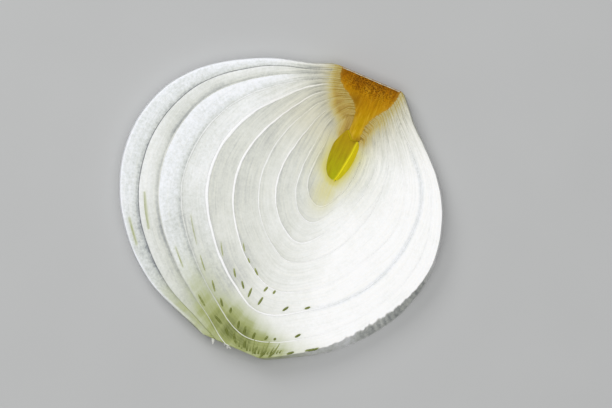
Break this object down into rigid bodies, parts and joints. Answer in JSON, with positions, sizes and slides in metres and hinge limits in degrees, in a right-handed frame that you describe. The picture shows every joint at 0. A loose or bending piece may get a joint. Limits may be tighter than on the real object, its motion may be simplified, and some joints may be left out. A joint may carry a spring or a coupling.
{
  "type": "onion slice",
  "caption": "Lengthwise slice of a white onion with nested fleshy scales, a corky stem plate and a yellow shoot, lying flat for food and table scenes.",
  "frame": {"origin": "middle of the slice's bounding box, on the lower cut face that it lies on", "axes": "+Z out of the upper cut face, +Y from the neck end to the root end, +X to the right seen from above"},
  "size_m": [0.0834, 0.0754, 0.006],
  "materials": {
    "flesh": "satin",
    "young_flesh": "satin",
    "cork": "matte",
    "shoot": "satin"
  },
  "bodies": {
    "root": {"scale_01": "flesh", "scale_02": "flesh", "scale_03": "flesh", "scale_04": "flesh", "scale_05": "flesh", "scale_06": "flesh", "scale_07": "flesh", "scale_08": "flesh", "scale_09": "young_flesh", "young_leaf": "young_flesh", "basal_plate": "cork", "shoot_leaf_left": "shoot", "shoot_leaf_right": "shoot"}
  },
  "joints": []
}
